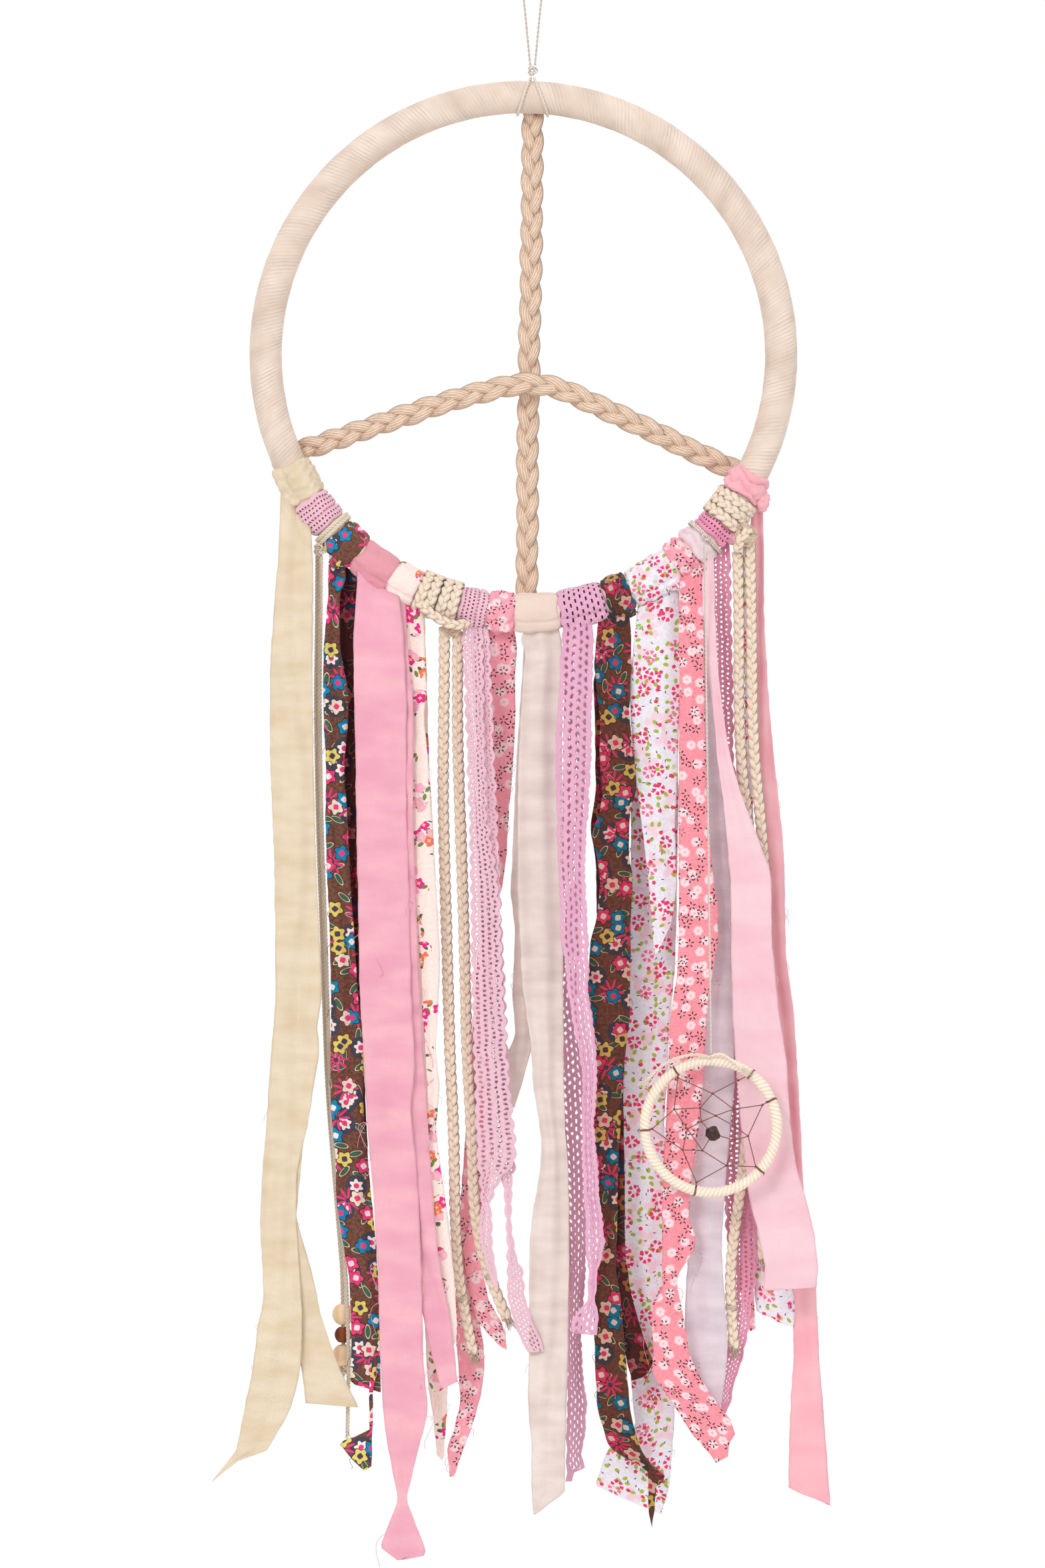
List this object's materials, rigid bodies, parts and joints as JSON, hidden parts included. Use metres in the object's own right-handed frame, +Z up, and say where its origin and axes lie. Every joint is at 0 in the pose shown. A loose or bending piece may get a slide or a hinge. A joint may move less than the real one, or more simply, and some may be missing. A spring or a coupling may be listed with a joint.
{
  "type": "dream catcher",
  "caption": "Hanging dream catcher: a taped hoop with a braided cross, knotted cloth strips, lace, braids, a beaded cord and a small hoop charm.",
  "frame": {"origin": "inside of the top of the hanging loop, where it rests on a hook", "axes": "+Z up along the hanging height, +X to the right of a viewer facing the front, the front faces -Y"},
  "size_m": [0.3385, 0.0573, 0.8584],
  "materials": {
    "tape": "woven cotton tape, matt",
    "braid": "three-strand cotton braid",
    "tail_braid": "narrow cotton braid",
    "core": "hidden hoop core",
    "organza_cream": "sheer organza",
    "organza_beige": "sheer organza",
    "sheer_pink": "sheer voile",
    "lace_pink": "open cotton lace",
    "lace_lilac": "crocheted lace",
    "brown_print": "printed cotton, brown with flowers",
    "solid_pink": "plain cotton",
    "rose_print": "printed cotton, roses on cream",
    "pink_print": "printed cotton, white flowers on pink",
    "white_floral": "printed cotton, pink blossoms on white",
    "cord": "twisted cotton cord",
    "ring_cord": "cotton cord, wound",
    "thread": "waxed thread",
    "stone": "polished dark stone",
    "light_wood": "varnished light wood",
    "dark_wood": "varnished dark wood"
  },
  "bodies": {
    "hanger_loop": {"hanger_loop": "cord"},
    "hanger_knot": {"hanger_knot": "cord"},
    "hoop_sling": {"hoop_sling": "cord"},
    "hoop": {"hoop_core": "core", "hoop_tape": "tape", "vertical_braid": "braid", "cross_braid": "braid", "charm_tie": "cord", "organza_left_wrap": "organza_cream", "lace_pink_left_wrap": "lace_pink", "twisted_cord_wrap": "cord", "brown_left_wrap": "brown_print", "solid_pink_left_wrap": "solid_pink", "rose_print_wrap": "rose_print", "braid_left_wrap": "tail_braid", "lace_pink_mid_wrap": "lace_pink", "pink_print_left_wrap": "pink_print", "organza_mid_wrap": "organza_beige", "lace_lilac_wrap": "lace_lilac", "brown_right_wrap": "brown_print", "white_floral_wrap": "white_floral", "pink_print_right_wrap": "pink_print", "sheer_right_wrap": "sheer_pink", "lace_pink_right_wrap": "lace_pink", "braid_right_wrap": "tail_braid", "solid_pink_right_wrap": "solid_pink"},
    "organza_left_tails": {"organza_left_tails": "organza_cream"},
    "brown_left_tails": {"brown_left_tails": "brown_print"},
    "solid_pink_left_tails": {"solid_pink_left_tails": "solid_pink"},
    "rose_print_tails": {"rose_print_tails": "rose_print"},
    "lace_pink_mid_tails": {"lace_pink_mid_tails": "lace_pink"},
    "pink_print_left_tails": {"pink_print_left_tails": "pink_print"},
    "organza_mid_tails": {"organza_mid_tails": "organza_beige"},
    "lace_lilac_tails": {"lace_lilac_tails": "lace_lilac"},
    "brown_right_tails": {"brown_right_tails": "brown_print"},
    "white_floral_tails": {"white_floral_tails": "white_floral"},
    "pink_print_right_tails": {"pink_print_right_tails": "pink_print"},
    "sheer_right_tails": {"sheer_right_tails": "sheer_pink"},
    "lace_pink_right_tails": {"lace_pink_right_tails": "lace_pink"},
    "solid_pink_right_tails": {"solid_pink_right_tails": "solid_pink"},
    "offcut_tails": {"offcut_tails": "white_floral"},
    "braid_left_tails": {"braid_left_tail_a": "tail_braid", "braid_left_tail_b": "tail_braid"},
    "braid_right_tails": {"braid_right_tail_a": "tail_braid", "braid_right_tail_b": "tail_braid"},
    "thin_cord": {"thin_cord": "cord"},
    "bead_cord": {"bead_cord": "cord", "bead_knot": "cord"},
    "bead_top": {"bead_top": "light_wood"},
    "bead_middle": {"bead_middle": "dark_wood"},
    "bead_bottom": {"bead_bottom": "light_wood"},
    "charm_cord": {"charm_cord": "cord"},
    "charm": {"charm_ring": "core", "charm_ring_wrap": "ring_cord", "charm_web": "thread", "charm_stone": "stone"}
  },
  "joints": [
    {"name": "loop_twist", "type": "hinge", "parent": "hanger_loop", "child": "hanger_knot", "pos_m": [0, 0, -0.0442], "axis": [0, 0, 1], "range_deg": [-90, 90]},
    {"name": "hoop_sway", "type": "hinge", "parent": "hanger_knot", "child": "hoop_sling", "pos_m": [0, 0, -0.0473], "axis": [0, 1, 0], "range_deg": [-15, 15]},
    {"name": "hoop_tip", "type": "hinge", "parent": "hoop_sling", "child": "hoop", "pos_m": [0, 0, -0.05909], "axis": [1, 0, 0], "range_deg": [-15, 15]},
    {"name": "organza_left_sway", "type": "hinge", "parent": "hoop", "child": "organza_left_tails", "pos_m": [-0.12575, -0.01125, -0.29314], "axis": [0, 1, 0], "range_deg": [-4, 4]},
    {"name": "brown_left_sway", "type": "hinge", "parent": "hoop", "child": "brown_left_tails", "pos_m": [-0.09958, -0.0025, -0.31962], "axis": [0, 1, 0], "range_deg": [-4, 4]},
    {"name": "solid_pink_left_sway", "type": "hinge", "parent": "hoop", "child": "solid_pink_left_tails", "pos_m": [-0.08163, -0.01625, -0.33185], "axis": [0, 1, 0], "range_deg": [-4, 4]},
    {"name": "rose_print_sway", "type": "hinge", "parent": "hoop", "child": "rose_print_tails", "pos_m": [-0.0645, -0.0025, -0.34041], "axis": [0, 1, 0], "range_deg": [-4, 4]},
    {"name": "lace_pink_mid_sway", "type": "hinge", "parent": "hoop", "child": "lace_pink_mid_tails", "pos_m": [-0.03037, -0.00875, -0.35037], "axis": [0, 1, 0], "range_deg": [-4, 4]},
    {"name": "pink_print_left_sway", "type": "hinge", "parent": "hoop", "child": "pink_print_left_tails", "pos_m": [-0.01562, 0.01125, -0.35213], "axis": [0, 1, 0], "range_deg": [-3.5, 3.5]},
    {"name": "organza_mid_sway", "type": "hinge", "parent": "hoop", "child": "organza_mid_tails", "pos_m": [0.00363, 0, -0.35226], "axis": [0, 1, 0], "range_deg": [-4, 4]},
    {"name": "lace_lilac_sway", "type": "hinge", "parent": "hoop", "child": "lace_lilac_tails", "pos_m": [0.02463, -0.00125, -0.34959], "axis": [0, 1, 0], "range_deg": [-4, 4]},
    {"name": "brown_right_sway", "type": "hinge", "parent": "hoop", "child": "brown_right_tails", "pos_m": [0.0455, -0.01125, -0.3439], "axis": [0, 1, 0], "range_deg": [-4, 4]},
    {"name": "white_floral_sway", "type": "hinge", "parent": "hoop", "child": "white_floral_tails", "pos_m": [0.06825, 0, -0.33376], "axis": [0, 1, 0], "range_deg": [-4, 4]},
    {"name": "pink_print_right_sway", "type": "hinge", "parent": "hoop", "child": "pink_print_right_tails", "pos_m": [0.085, -0.015, -0.32311], "axis": [0, 1, 0], "range_deg": [-4, 4]},
    {"name": "sheer_right_sway", "type": "hinge", "parent": "hoop", "child": "sheer_right_tails", "pos_m": [0.09438, -0.00875, -0.31568], "axis": [0, 1, 0], "range_deg": [-4, 4]},
    {"name": "lace_pink_right_sway", "type": "hinge", "parent": "hoop", "child": "lace_pink_right_tails", "pos_m": [0.1035, 0.005, -0.30716], "axis": [0, 1, 0], "range_deg": [-4, 4]},
    {"name": "solid_pink_right_sway", "type": "hinge", "parent": "hoop", "child": "solid_pink_right_tails", "pos_m": [0.12275, 0.0125, -0.28328], "axis": [0, 1, 0], "range_deg": [-4, 4]},
    {"name": "offcut_sway", "type": "hinge", "parent": "hoop", "child": "offcut_tails", "pos_m": [0.1145, 0.01, -0.29474], "axis": [0, 1, 0], "range_deg": [-4, 4]},
    {"name": "braid_left_sway", "type": "hinge", "parent": "hoop", "child": "braid_left_tails", "pos_m": [-0.04455, 0, -0.34728], "axis": [0, 1, 0], "range_deg": [-4, 4]},
    {"name": "braid_right_sway", "type": "hinge", "parent": "hoop", "child": "braid_right_tails", "pos_m": [0.11555, 0, -0.2934], "axis": [0, 1, 0], "range_deg": [-4, 4]},
    {"name": "thin_cord_sway", "type": "hinge", "parent": "hoop", "child": "thin_cord", "pos_m": [-0.1156, -0.0022, -0.305], "axis": [0, 1, 0], "range_deg": [-4, 4]},
    {"name": "bead_cord_sway", "type": "hinge", "parent": "hoop", "child": "bead_cord", "pos_m": [-0.1182, 0.0152, -0.30219], "axis": [0, 1, 0], "range_deg": [-3.5, 3.5]},
    {"name": "bead_top_spin", "type": "hinge", "parent": "bead_cord", "child": "bead_top", "pos_m": [-0.1039, 0.0152, -0.726], "axis": [0, 0, 1], "continuous": true},
    {"name": "bead_middle_spin", "type": "hinge", "parent": "bead_cord", "child": "bead_middle", "pos_m": [-0.1039, 0.0152, -0.7372], "axis": [0, 0, 1], "continuous": true},
    {"name": "bead_bottom_spin", "type": "hinge", "parent": "bead_cord", "child": "bead_bottom", "pos_m": [-0.1039, 0.0152, -0.7484], "axis": [0, 0, 1], "continuous": true},
    {"name": "charm_sway", "type": "hinge", "parent": "hoop", "child": "charm_cord", "pos_m": [0.0936, -0.0152, -0.3039], "axis": [0, 1, 0], "range_deg": [-12, 12]},
    {"name": "charm_twist", "type": "hinge", "parent": "charm_cord", "child": "charm", "pos_m": [0.0967, -0.0275, -0.5821], "axis": [0, 0, 1], "range_deg": [-9, 9]}
  ]
}
